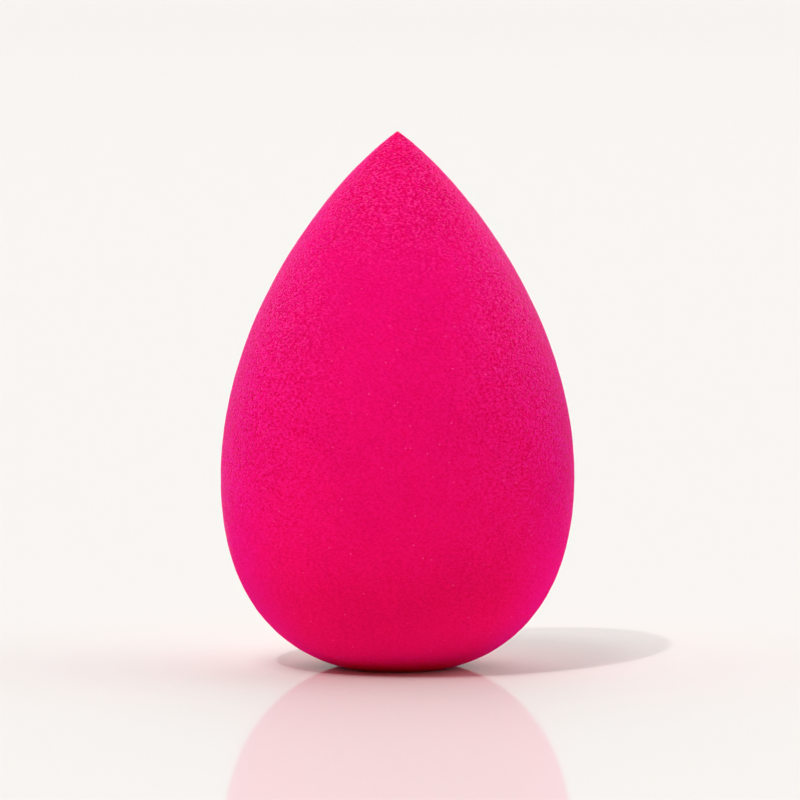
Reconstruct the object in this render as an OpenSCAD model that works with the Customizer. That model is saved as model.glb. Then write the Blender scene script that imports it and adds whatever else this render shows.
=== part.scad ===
// Teardrop makeup sponge, one block of soft foam standing on its small flat foot.
// Millimetres. The axis is Z, the foot lies on Z = 0 with its centre at the origin, and the tip points up.

/* [Body] */
// Height of the dry sponge from the foot to the tip
body_h = 60; // [50:0.5:80]
// Diameter at the widest ring
body_d = 39.6; // [32:0.1:52]
// Height of the widest ring above the foot
belly_h = 21.2; // [17:0.1:27]

/* [Point] */
// Angle between the axis and the surface where it reaches the tip
point_angle = 54; // [45:0.5:60]
// Radius that blunts the tip
point_r = 0.2; // [0.1:0.1:1.5]
// Pull of the upright belly on the curve above it, a share of the height over the belly
shoulder_share = 0.48; // [0.35:0.01:0.6]
// Pull of the tip's slope on the same curve, a share of the same height
point_share = 0.21; // [0.15:0.01:0.35]

/* [Base] */
// Diameter of the flat foot
foot_d = 12; // [8:0.5:16]
// Angle at which the underside lifts off the surface that the sponge stands on
foot_angle = 12; // [6:0.5:20]
// Pull of the upright belly on the curve below it, a share of the belly's height
flank_share = 0.76; // [0.6:0.01:0.85]
// Pull of the underside's slope on the same curve, a share of the belly's radius
underside_share = 0.22; // [0.15:0.01:0.4]

/* [Smoothness] */
// Straight steps in each of the two long curves of the outline
curve_steps = 44; // [20:2:80]
// Straight steps in the tip's small arc
tip_steps = 5; // [3:1:10]
// Sides that the preview draws round the axis
round_sides = 128; // [48:16:192]

/* [Hidden] */
foam_colour = [0.93, 0.04, 0.40];

body_r = body_d / 2;
foot_r = foot_d / 2;
upper_h = body_h - belly_h;

// Where the blunt tip's arc takes over from the long curve
tip_centre_h = body_h - point_r;
tip_start = [point_r * cos(point_angle), tip_centre_h + point_r * sin(point_angle)];

// Outward and downward direction of the surface at the tip, and outward and upward at the foot
point_slope = [sin(point_angle), -cos(point_angle)];
foot_slope = [cos(foot_angle), sin(foot_angle)];
upright = [0, 1];

foot_edge = [foot_r, 0];
belly_edge = [body_r, belly_h];

// A point of a cubic curve with end points a and d and handles b and c
function cubic(a, b, c, d, t) =
    pow(1 - t, 3) * a + 3 * pow(1 - t, 2) * t * b + 3 * (1 - t) * pow(t, 2) * c + pow(t, 3) * d;

// From the foot's edge out and up to the widest ring
lower_curve = [for (i = [0:curve_steps])
    cubic(
        foot_edge,
        foot_edge + underside_share * body_r * foot_slope,
        belly_edge - flank_share * belly_h * upright,
        belly_edge,
        i / curve_steps
    )
];

// From the widest ring up and in to the tip
upper_curve = [for (i = [1:curve_steps])
    cubic(
        belly_edge,
        belly_edge + shoulder_share * upper_h * upright,
        tip_start + point_share * upper_h * point_slope,
        tip_start,
        i / curve_steps
    )
];

// The arc that blunts the tip, ending on the axis
tip_arc = [for (i = [1:tip_steps])
    let (angle = point_angle + (90 - point_angle) * i / tip_steps)
    [i == tip_steps ? 0 : point_r * cos(angle), tip_centre_h + point_r * sin(angle)]
];

// Half of the sponge's section, from the middle of the foot round to the tip
half_section = concat([[0, 0]], lower_curve, upper_curve, tip_arc);

// The whole sponge: a single block of foam, solid right through
module foam_body() {
    color(foam_colour)
        rotate_extrude($fn = round_sides)
            polygon(half_section);
}

foam_body();
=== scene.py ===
import math
import bpy
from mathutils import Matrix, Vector


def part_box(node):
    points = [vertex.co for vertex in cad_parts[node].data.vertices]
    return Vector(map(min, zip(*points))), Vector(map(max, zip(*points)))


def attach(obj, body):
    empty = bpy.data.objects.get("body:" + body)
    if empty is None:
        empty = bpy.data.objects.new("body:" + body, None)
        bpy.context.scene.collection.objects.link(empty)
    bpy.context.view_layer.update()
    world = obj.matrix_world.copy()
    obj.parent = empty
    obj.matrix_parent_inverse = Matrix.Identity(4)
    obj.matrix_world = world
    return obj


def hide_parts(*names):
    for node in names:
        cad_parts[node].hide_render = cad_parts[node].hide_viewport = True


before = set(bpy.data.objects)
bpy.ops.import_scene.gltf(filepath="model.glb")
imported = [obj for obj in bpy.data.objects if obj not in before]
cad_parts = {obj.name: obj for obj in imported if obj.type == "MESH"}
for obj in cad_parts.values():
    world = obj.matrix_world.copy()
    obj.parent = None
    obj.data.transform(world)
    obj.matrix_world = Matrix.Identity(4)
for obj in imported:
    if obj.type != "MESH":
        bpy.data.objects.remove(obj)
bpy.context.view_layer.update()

lowCorner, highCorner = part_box("foam_body")
millimetre = 0.001


def deselectAll():
    bpy.ops.object.select_all(action="DESELECT")


def pickOnly(piece):
    deselectAll()
    piece.select_set(True)
    bpy.context.view_layer.objects.active = piece


def addModifier(piece, kind, label, **settings):
    modifier = piece.modifiers.new(label, kind)
    for key, value in settings.items():
        setattr(modifier, key, value)


def applyAll(piece):
    pickOnly(piece)
    for label in [modifier.name for modifier in piece.modifiers]:
        bpy.ops.object.modifier_apply(modifier=label)


# The sponge, a teardrop of solid foam

sponge = {
    "height": highCorner.z - lowCorner.z,
    "radius": (highCorner.x - lowCorner.x) / 2,
    "bellyHeight": 21.2 * millimetre,
    "footRadius": 6 * millimetre,
    # degrees that the underside rises at the foot, and between the axis and the surface at the tip
    "footAngle": 12,
    "pointAngle": 54,
    "pointRadius": 0.2 * millimetre,
    # how far the two long curves are pulled straight at their ends, as shares of their height or radius
    "shoulderPull": 0.48,
    "pointPull": 0.21,
    "flankPull": 0.76,
    "undersidePull": 0.22,
    "outlineSteps": 110,
    "tipSteps": 5,
    "turnSteps": 360,
    "mergeDistance": 0.001 * millimetre,
    # the even mesh laid over the turned form, and how it settles onto it
    "meshSize": 0.3 * millimetre,
    "relaxRounds": 3,
    "relaxSteps": 4,
    "relaxFactor": 0.5,
    # height over which the lumps fade in above the foot
    "footFade": 2 * millimetre,
    # size of the lumps and their most from hollow to crest, coarse to fine
    "lumps": (
        (14 * millimetre, 0.06 * millimetre),
        (4 * millimetre, 0.05 * millimetre),
        (1.2 * millimetre, 0.05 * millimetre),
    ),
    "lumpDetail": 1,
    # the level of the lumps' noise that leaves the surface where it is
    "lumpMiddle": 0.5,
}


def cubicPoint(a, b, c, d, t):
    s = 1 - t
    return s ** 3 * a + 3 * s * s * t * b + 3 * s * t * t * c + t ** 3 * d


def spongeOutline():
    # Half of the section, from the middle of the foot round to the tip
    radius, belly, height = sponge["radius"], sponge["bellyHeight"], sponge["height"]
    point, foot = math.radians(sponge["pointAngle"]), math.radians(sponge["footAngle"])
    tipCentre = height - sponge["pointRadius"]
    footEdge = Vector((sponge["footRadius"], 0, 0))
    bellyEdge = Vector((radius, 0, belly))
    tipStart = Vector((sponge["pointRadius"] * math.cos(point), 0,
                       tipCentre + sponge["pointRadius"] * math.sin(point)))
    footSlope = Vector((math.cos(foot), 0, math.sin(foot)))
    tipSlope = Vector((math.sin(point), 0, -math.cos(point)))
    upright = Vector((0, 0, 1))
    steps = [i / sponge["outlineSteps"] for i in range(sponge["outlineSteps"] + 1)]
    lower = [cubicPoint(footEdge,
                        footEdge + sponge["undersidePull"] * radius * footSlope,
                        bellyEdge - sponge["flankPull"] * belly * upright,
                        bellyEdge, t) for t in steps]
    upper = [cubicPoint(bellyEdge,
                        bellyEdge + sponge["shoulderPull"] * (height - belly) * upright,
                        tipStart + sponge["pointPull"] * (height - belly) * tipSlope,
                        tipStart, t) for t in steps[1:]]
    tip = []
    for i in range(1, sponge["tipSteps"] + 1):
        angle = point + (math.pi / 2 - point) * i / sponge["tipSteps"]
        tip.append(Vector((sponge["pointRadius"] * math.cos(angle), 0,
                           tipCentre + sponge["pointRadius"] * math.sin(angle))))
    tip[-1].x = 0
    return [Vector((0, 0, 0))] + lower + upper + tip


def turnedForm():
    # A single point is drawn out along half the outline, which is then turned round the axis
    deselectAll()
    bpy.ops.mesh.primitive_plane_add(size=sponge["footRadius"], location=(0, 0, 0))
    form = bpy.context.object
    form.name = "turned_form"
    outline = spongeOutline()
    bpy.ops.object.mode_set(mode="EDIT")
    bpy.ops.mesh.select_all(action="SELECT")
    bpy.ops.mesh.merge(type="CENTER")
    for start, end in zip(outline, outline[1:]):
        bpy.ops.mesh.extrude_region_move(TRANSFORM_OT_translate={"value": end - start})
    bpy.ops.mesh.select_all(action="SELECT")
    bpy.ops.mesh.spin(steps=sponge["turnSteps"], angle=2 * math.pi, center=(0, 0, 0), axis=(0, 0, 1))
    bpy.ops.mesh.select_all(action="SELECT")
    bpy.ops.mesh.remove_doubles(threshold=sponge["mergeDistance"])
    bpy.ops.mesh.normals_make_consistent(inside=False)
    bpy.ops.object.mode_set(mode="OBJECT")
    return form


def foamPiece(form):
    # An even mesh over the turned form, so that the foam's lumps come out alike everywhere
    pickOnly(form)
    bpy.ops.object.duplicate()
    foam = bpy.context.object
    foam.name = "foam_sponge"
    foam.data.name = "foam_sponge"
    addModifier(foam, "REMESH", "even", mode="VOXEL", voxel_size=sponge["meshSize"])
    for i in range(sponge["relaxRounds"]):
        addModifier(foam, "SMOOTH", "relax%d" % i,
                    factor=sponge["relaxFactor"], iterations=sponge["relaxSteps"])
        addModifier(foam, "SHRINKWRAP", "hug%d" % i, target=form, wrap_method="NEAREST_SURFACEPOINT")
    applyAll(foam)
    return foam


def raiseTip(foam):
    # The even mesh cuts the very tip short, so its top corner goes back up
    top = max(foam.data.vertices, key=lambda v: v.co.z)
    top.co = (0, 0, sponge["height"])


def lumpTexture(label, size):
    texture = bpy.data.textures.new(label, "CLOUDS")
    texture.noise_scale = size
    texture.noise_depth = sponge["lumpDetail"]
    texture.noise_basis = "BLENDER_ORIGINAL"
    return texture


def roughen(foam):
    # Ground foam is never quite true: low lumps, none of them at the pressed foot
    group = foam.vertex_groups.new(name="free")
    for vertex in foam.data.vertices:
        share = min(1, max(0, vertex.co.z / sponge["footFade"]))
        eased = share * share * (3 - 2 * share)
        group.add([vertex.index], eased, "REPLACE")
    for i, (size, depth) in enumerate(sponge["lumps"]):
        addModifier(foam, "DISPLACE", "lumps%d" % i, texture=lumpTexture("lumps%d" % i, size),
                    texture_coords="LOCAL", strength=depth, mid_level=sponge["lumpMiddle"],
                    vertex_group="free")
    applyAll(foam)
    foam.vertex_groups.clear()
    for vertex in foam.data.vertices:
        vertex.co.z = max(vertex.co.z, 0)  # nothing sinks into what the sponge stands on
    pickOnly(foam)
    bpy.ops.object.shade_smooth()


form = turnedForm()
foam = foamPiece(form)
raiseTip(foam)
roughen(foam)
bpy.data.objects.remove(form)
print("sponge:", len(foam.data.polygons), "faces")


# The finish, dyed foam with painted shade that makes it redder and darker towards the foot.
# Its heights and widths are in millimetres

finish = {
    # the dye's pink at heights over the foot, with painted shade: redder and darker low down,
    # deepest red at the very foot, bluer high up
    "pinksWithPaintedShade": (
        (0, (0.90, 0.0020, 0.010, 1)),
        (1.8, (1.0, 0.0026, 0.130, 1)),
        (9, (0.93, 0.0026, 0.114, 1)),
        (18, (0.98, 0.0028, 0.144, 1)),
        (34, (0.97, 0.0030, 0.168, 1)),
        (46, (0.93, 0.0028, 0.178, 1)),
        (60, (0.85, 0.0018, 0.150, 1)),
    ),
    # painted light: a brighter, bluer pink at the left and right, and where it starts and is full:
    # 0 is the middle of the front or back, 1 is the very side
    "sideLightPink": (1.0, 0.0016, 0.200, 1),
    "sideLightShares": (0.65, 1.0),
    # the grain: how many lumps go to a millimetre, how much flatter than wide they are,
    # and which levels of the noise are the bottom of a hollow and the top of a crest
    "grainPerMm": 3.1,
    "grainFlat": 1.6,
    "grainDetail": 1.5,
    "grainRoughness": 0.6,
    "grainDistortion": 0.5,
    "grainBand": (0.36, 0.64),
    # painted shade in the hollows and painted light on the crests: what the grain multiplies the pink by
    # there
    "hollowPaintedShade": (0.84, 0.0, 0.46, 1),
    "crestPaintedLight": (1.12, 2.5, 1.65, 1),
    # the grain's bump is faint low down, and its painted shade and light are faint low down and over the
    # middle, strongest at the sides and top where the light shows the relief most: it comes in between these
    # distances to the side and these heights, and right across between the upper heights
    "grainSides": (4.0, 14.0),
    "grainLow": (6.0, 30.0),
    "grainHigh": (42.0, 54.0),
    # how much of it is back at the top, and how much is left where it is faintest
    "grainTop": 0.82,
    "grainFaint": 0.36,
    # painted sheen: pale crests that stand for light caught on the foam's fuzz, more of them high up: the
    # levels of the noise at which they start and are full, the heights between which they grow common, how
    # many are left below, how pale they are
    "crestSheenPink": (1.0, 0.052, 0.28, 1),
    "crestBand": (0.53, 0.63),
    "crestRise": (27.0, 46.0),
    "crestLow": 0.15,
    "crestShare": 0.65,
    # broad patches that took up a little more or less of the dye
    "patchPerMm": 0.12,
    "patchDetail": 3,
    "patchBand": (0.3, 0.7),
    "patchShade": (0.96, 1.04),
    # rare pale specks, painted glints where a cell wall catches the light, and the shares of the gap
    # between them at which one starts to fade and is gone
    "speckPerMm": 0.75,
    "speckEdge": (0.045, 0.09),
    "speckGlintPink": (1.0, 0.06, 0.30, 1),
    # in the hollows and on the crests
    "roughness": (0.95, 0.80),
    "bumpDistance": 0.12 * millimetre,
    "bumpStrength": 0.8,
    "ior": 1.4,
    "specular": 0.03,
    # the pale bloom at the edges, low down and high up, and the heights between the two
    "sheen": (0.50, 0.86),
    "sheenRise": (30.0, 50.0),
    "sheenTint": (1.0, 0.85, 1.0, 1),
    "sheenRoughness": 0.06,
    # how much of the light goes into the foam, and how far it spreads there in red, green and blue
    "subsurface": 0.5,
    "subsurfaceScale": 8 * millimetre,
    "subsurfaceRadius": (1.0, 0.01, 0.03),
}


def emptyTree(owner):
    owner.use_nodes = True
    owner.node_tree.nodes.clear()
    return owner.node_tree


def addNode(tree, kind, place, **settings):
    node = tree.nodes.new(kind)
    node.location = place
    for key, value in settings.items():
        setattr(node, key, value)
    return node


def feed(tree, value, socket):
    # A constant is set on the socket, and an output is linked to it
    if isinstance(value, (int, float, tuple)):
        socket.default_value = value
    else:
        tree.links.new(value, socket)


def mathNode(tree, operation, first, second, place):
    node = addNode(tree, "ShaderNodeMath", place, operation=operation)
    feed(tree, first, node.inputs[0])
    feed(tree, second, node.inputs[1])
    return node.outputs[0]


def spreadNode(tree, value, low, high, outLow, outHigh, place, smooth=False):
    node = addNode(tree, "ShaderNodeMapRange", place,
                   interpolation_type="SMOOTHSTEP" if smooth else "LINEAR")
    tree.links.new(value, node.inputs["Value"])
    for name, number in (("From Min", low), ("From Max", high), ("To Min", outLow), ("To Max", outHigh)):
        node.inputs[name].default_value = number
    return node.outputs["Result"]


def mixColour(tree, share, first, second, place, blend="MIX"):
    node = addNode(tree, "ShaderNodeMix", place, data_type="RGBA", blend_type=blend,
                   clamp_result=blend != "MIX")
    # The node has an A, a B and a result for each kind of value: these are the ones for colours
    feed(tree, share, node.inputs["Factor"])
    feed(tree, first, node.inputs[6])
    feed(tree, second, node.inputs[7])
    return node.outputs[2]


def patternNode(tree, kind, vector, place, **values):
    node = addNode(tree, kind, place)
    tree.links.new(vector, node.inputs["Vector"])
    for name, number in values.items():
        node.inputs[name].default_value = number
    return node


def heightRamp(tree, height, stops, place):
    top = stops[-1][0]
    share = spreadNode(tree, height, 0, top, 0, 1, (place[0] - 300, place[1]))
    node = addNode(tree, "ShaderNodeValToRGB", place)
    ramp = node.color_ramp
    while len(ramp.elements) < len(stops):
        ramp.elements.new(1)
    for element, (level, colour) in zip(ramp.elements, stops):
        element.position = level / top
        element.color = colour
    tree.links.new(share, node.inputs[0])
    return node.outputs["Color"]


def dyeWithPaintedShadeAndLight(tree, vector, aside, height):
    # The dye's pink with painted shade by height,
    # and painted light that makes it brighter and bluer towards the two sides
    colour = heightRamp(tree, height, finish["pinksWithPaintedShade"], (-300, 1100))
    across = addNode(tree, "ShaderNodeVectorMath", (-1150, 1400), operation="MULTIPLY")
    tree.links.new(vector, across.inputs[0])
    across.inputs[1].default_value = (1, 1, 0)
    radius = addNode(tree, "ShaderNodeVectorMath", (-950, 1400), operation="LENGTH")
    tree.links.new(across.outputs["Vector"], radius.inputs[0])
    turned = mathNode(tree, "DIVIDE", aside, radius.outputs["Value"], (-750, 1400))
    beside = spreadNode(tree, turned, *finish["sideLightShares"], 0, 1, (-550, 1400), True)
    return mixColour(tree, beside, colour, finish["sideLightPink"], (0, 1200))


def groundGrain(tree, vector):
    # The ground surface: fine crests and hollows, a little wider than they are high
    flat = patternNode(tree, "ShaderNodeMapping", vector, (-1150, 300), Scale=(1, 1, finish["grainFlat"]))
    grain = patternNode(tree, "ShaderNodeTexNoise", flat.outputs["Vector"], (-950, 300),
                        Scale=finish["grainPerMm"], Detail=finish["grainDetail"],
                        Roughness=finish["grainRoughness"], Distortion=finish["grainDistortion"])
    return grain.outputs["Fac"]


def grainStrengths(tree, aside, height):
    # How strong the grain is: low down, which also fades its bump, and in all, for its painted shade and
    # light
    low = spreadNode(tree, height, *finish["grainLow"], 0, 1, (-750, 700), True)
    sides = spreadNode(tree, aside, *finish["grainSides"], 0, 1, (-750, 950), True)
    high = spreadNode(tree, height, *finish["grainHigh"], 0, finish["grainTop"], (-750, 500), True)
    both = mathNode(tree, "MULTIPLY", sides, low, (-550, 850))
    return low, mathNode(tree, "MAXIMUM", both, high, (-350, 750))


def patchShade(tree, vector):
    patches = patternNode(tree, "ShaderNodeTexNoise", vector, (-950, -150),
                          Scale=finish["patchPerMm"], Detail=finish["patchDetail"])
    return spreadNode(tree, patches.outputs["Fac"], *finish["patchBand"], *finish["patchShade"],
                      (-700, -150))


def speckGlintShare(tree, vector):
    # Each speck is a painted glint, a cell wall that catches the light
    specks = patternNode(tree, "ShaderNodeTexVoronoi", vector, (-950, -450), Scale=finish["speckPerMm"])
    return spreadNode(tree, specks.outputs["Distance"], *finish["speckEdge"], 1, 0, (-700, -450), True)


def paintedCrestSheen(tree, grain, free, height):
    # Painted sheen: pale crests stand for the light caught on the foam's fuzz, and grow common higher up
    crest = spreadNode(tree, grain, *finish["crestBand"], 0, finish["crestShare"], (-200, 0))
    rise = spreadNode(tree, height, *finish["crestRise"], finish["crestLow"], 1, (-200, 250), True)
    common = mathNode(tree, "MULTIPLY", free, rise, (0, 250))
    return mathNode(tree, "MULTIPLY", crest, common, (200, 150))


def foamMaterial():
    material = bpy.data.materials.new("pink_foam")
    tree = emptyTree(material)
    output = addNode(tree, "ShaderNodeOutputMaterial", (1600, 0))
    shader = addNode(tree, "ShaderNodeBsdfPrincipled", (1300, 0))
    tree.links.new(shader.outputs[0], output.inputs["Surface"])

    # Everything below is placed in millimetres
    place = addNode(tree, "ShaderNodeTexCoord", (-1600, 0)).outputs["Object"]
    inMm = patternNode(tree, "ShaderNodeMapping", place, (-1400, 0), Scale=(1 / millimetre,) * 3)
    vector = inMm.outputs["Vector"]
    parts = addNode(tree, "ShaderNodeSeparateXYZ", (-1150, 700))
    tree.links.new(vector, parts.inputs[0])
    height = parts.outputs["Z"]
    aside = mathNode(tree, "ABSOLUTE", parts.outputs["X"], 0, (-950, 950))

    grain = groundGrain(tree, vector)
    relief = spreadNode(tree, grain, *finish["grainBand"], 0, 1, (-700, 300))
    low, free = grainStrengths(tree, aside, height)

    # The dye with its painted shade and side light, then the grain's painted shade and light, the patches,
    # the painted sheen on the crests and the painted glints of the specks over it
    colour = dyeWithPaintedShadeAndLight(tree, vector, aside, height)
    paintedReliefShade = mixColour(tree, relief, finish["hollowPaintedShade"], finish["crestPaintedLight"], (-200, 500))
    reliefShadeShare = spreadNode(tree, free, 0, 1, finish["grainFaint"], 1, (0, 750))
    colour = mixColour(tree, reliefShadeShare, colour, paintedReliefShade, (200, 700), "MULTIPLY")
    colour = mixColour(tree, 1.0, colour, patchShade(tree, vector), (400, 600), "MULTIPLY")
    colour = mixColour(tree, paintedCrestSheen(tree, grain, free, height), colour, finish["crestSheenPink"],
                       (600, 500))
    colour = mixColour(tree, speckGlintShare(tree, vector), colour, finish["speckGlintPink"], (800, 400))
    tree.links.new(colour, shader.inputs["Base Color"])

    roughness = spreadNode(tree, relief, 0, 1, *finish["roughness"], (800, 100))
    tree.links.new(roughness, shader.inputs["Roughness"])
    sheen = spreadNode(tree, height, *finish["sheenRise"], *finish["sheen"], (800, -150), True)
    tree.links.new(sheen, shader.inputs["Sheen Weight"])
    bump = addNode(tree, "ShaderNodeBump", (1000, -400))
    bump.inputs["Strength"].default_value = finish["bumpStrength"]
    bump.inputs["Distance"].default_value = finish["bumpDistance"]
    tree.links.new(mathNode(tree, "MULTIPLY", relief, low, (800, -400)), bump.inputs["Height"])
    tree.links.new(bump.outputs["Normal"], shader.inputs["Normal"])

    for socket, name in (
        ("IOR", "ior"),
        ("Specular IOR Level", "specular"),
        ("Sheen Roughness", "sheenRoughness"),
        ("Sheen Tint", "sheenTint"),
        ("Subsurface Weight", "subsurface"),
        ("Subsurface Scale", "subsurfaceScale"),
        ("Subsurface Radius", "subsurfaceRadius"),
    ):
        shader.inputs[socket].default_value = finish[name]
    return material


foam.data.materials.clear()
foam.data.materials.append(foamMaterial())
print("finish: pink foam")

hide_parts("foam_body")
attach(foam, "root")


# The floor, the light and the camera. Angles are in degrees

setting = {
    # so wide, in metres, that its far edge lies on the horizon
    "floorSize": 400.0,
    "floorColour": (0.757, 0.694, 0.686, 1),
    # shares of a clear gloss and of a faint, wide haze on the matt floor, and how rough each is
    "gloss": 0.2,
    "glossRoughness": 0.06,
    "haze": 0.03,
    "hazeRoughness": 0.38,
    # what is seen behind the sponge, and what the floor's gloss mirrors
    "backdrop": (0.939, 0.905, 0.875, 1),
    "mirrored": (0.75, 0.93, 0.84, 1),
    "keyAzimuth": 239.0,
    "keyElevation": 51.8,
    "keyAngle": 1.5,
    "keyStrength": 0.95,
    "softColour": (0.8, 0.8, 0.8, 1),
    # azimuth and elevation of each soft light's middle, its strength and how tightly it keeps to that middle
    "softLights": (
        (0, 40, 1.9, 6),
        (0, 5, 0.5, 6),
        (180, 40, 1.2, 6),
        (239, 62, 27.5, 150),  # the key's own soft glow
        (90, 15, 2.3, 6),
        (90, 50, 1.6, 6),
    ),
    # how far the camera is from the point that it looks at and how far it is pitched down,
    # and how high and how far to the right that point is
    "cameraDistance": 0.70,
    "cameraPitch": 3.7,
    "aimHeight": 0.02993,
    "aimAside": 0.00028,
    # the picture's width, and its scale at the sponge
    "framePixels": 800,
    "pixelsPerMm": 8.935,
    "sensor": 36.0,
}


def towardsPoint(azimuth, elevation):
    # Azimuth 0 is the right of the picture, and 90 is away from the camera
    azimuth, elevation = math.radians(azimuth), math.radians(elevation)
    return Vector((math.cos(azimuth) * math.cos(elevation), math.sin(azimuth) * math.cos(elevation),
                   math.sin(elevation)))


def glossNode(tree, roughness, place):
    node = addNode(tree, "ShaderNodeBsdfGlossy", place)
    node.inputs["Color"].default_value = (1, 1, 1, 1)
    node.inputs["Roughness"].default_value = roughness
    return node.outputs[0]


def backgroundNode(tree, colour, strength, place):
    node = addNode(tree, "ShaderNodeBackground", place)
    feed(tree, colour, node.inputs["Color"])
    feed(tree, strength, node.inputs["Strength"])
    return node.outputs[0]


def mixShaders(tree, share, first, second, place):
    node = addNode(tree, "ShaderNodeMixShader", place)
    for socket, value in zip(node.inputs, (share, first, second)):
        feed(tree, value, socket)
    return node.outputs[0]


def floorMaterial():
    material = bpy.data.materials.new("white_gloss")
    tree = emptyTree(material)
    output = addNode(tree, "ShaderNodeOutputMaterial", (700, 0))
    matt = addNode(tree, "ShaderNodeBsdfDiffuse", (0, 200))
    matt.inputs["Color"].default_value = setting["floorColour"]
    haze = glossNode(tree, setting["hazeRoughness"], (0, 0))
    hazy = mixShaders(tree, setting["haze"] / (1 - setting["gloss"]), matt.outputs[0], haze, (250, 100))
    gloss = glossNode(tree, setting["glossRoughness"], (0, -200))
    glossy = mixShaders(tree, setting["gloss"], hazy, gloss, (480, 0))
    tree.links.new(glossy, output.inputs["Surface"])
    return material


def pearlFloor():
    deselectAll()
    bpy.ops.mesh.primitive_plane_add(size=setting["floorSize"], location=(0, 0, 0))
    floor = bpy.context.object
    floor.name = "floor"
    floor.data.materials.append(floorMaterial())


def softLight(tree, direction, azimuth, elevation, strength, tightness, row):
    # Brightest towards the light's middle, fading out evenly around it
    along = addNode(tree, "ShaderNodeVectorMath", (-900, row), operation="DOT_PRODUCT")
    tree.links.new(direction, along.inputs[0])
    along.inputs[1].default_value = towardsPoint(azimuth, elevation)
    facing = mathNode(tree, "MAXIMUM", along.outputs["Value"], 0, (-700, row))
    spread = mathNode(tree, "POWER", facing, tightness, (-500, row))
    return mathNode(tree, "MULTIPLY", spread, strength, (-300, row))


def surroundings():
    # The soft lights shine on everything, but are neither seen nor mirrored in the floor
    world = bpy.data.worlds.new("studio")
    bpy.context.scene.world = world
    tree = emptyTree(world)
    output = addNode(tree, "ShaderNodeOutputWorld", (900, 0))
    direction = addNode(tree, "ShaderNodeTexCoord", (-1150, 0)).outputs["Generated"]
    total = 0
    for i, soft in enumerate(setting["softLights"]):
        total = mathNode(tree, "ADD", softLight(tree, direction, *soft, -200 * i), total, (-50, -200 * i))
    result = backgroundNode(tree, setting["softColour"], total, (200, 0))
    mirrored = backgroundNode(tree, setting["mirrored"], 1, (200, 350))
    seen = backgroundNode(tree, setting["backdrop"], 1, (200, 200))
    rays = addNode(tree, "ShaderNodeLightPath", (0, 500))
    for i, (ray, shade) in enumerate((("Is Glossy Ray", mirrored), ("Is Camera Ray", seen))):
        result = mixShaders(tree, rays.outputs[ray], result, shade, (450 + 200 * i, 0))
    tree.links.new(result, output.inputs["Surface"])


def keyLight():
    lamp = bpy.data.lights.new("key", "SUN")
    lamp.angle = math.radians(setting["keyAngle"])
    lamp.energy = setting["keyStrength"]
    key = bpy.data.objects.new("key", lamp)
    bpy.context.scene.collection.objects.link(key)
    towards = towardsPoint(setting["keyAzimuth"], setting["keyElevation"])
    key.location = towards * setting["cameraDistance"]
    key.rotation_euler = towards.to_track_quat("Z", "Y").to_euler()


def photoCamera():
    pitch = math.radians(setting["cameraPitch"])
    frameWidth = setting["framePixels"] / setting["pixelsPerMm"] * millimetre
    camera = bpy.data.cameras.new("camera")
    camera.sensor_width = setting["sensor"]
    camera.lens = setting["sensor"] * setting["cameraDistance"] / frameWidth
    camera.clip_end = setting["floorSize"]
    camera.dof.use_dof = False
    holder = bpy.data.objects.new("camera", camera)
    bpy.context.scene.collection.objects.link(holder)
    holder.location = (setting["aimAside"], -setting["cameraDistance"] * math.cos(pitch),
                       setting["aimHeight"] + setting["cameraDistance"] * math.sin(pitch))
    holder.rotation_euler = (math.pi / 2 - pitch, 0, 0)
    bpy.context.scene.camera = holder


pearlFloor()
surroundings()
keyLight()
photoCamera()
bpy.context.scene.view_settings.view_transform = "Standard"
print("setting: floor, light and camera")
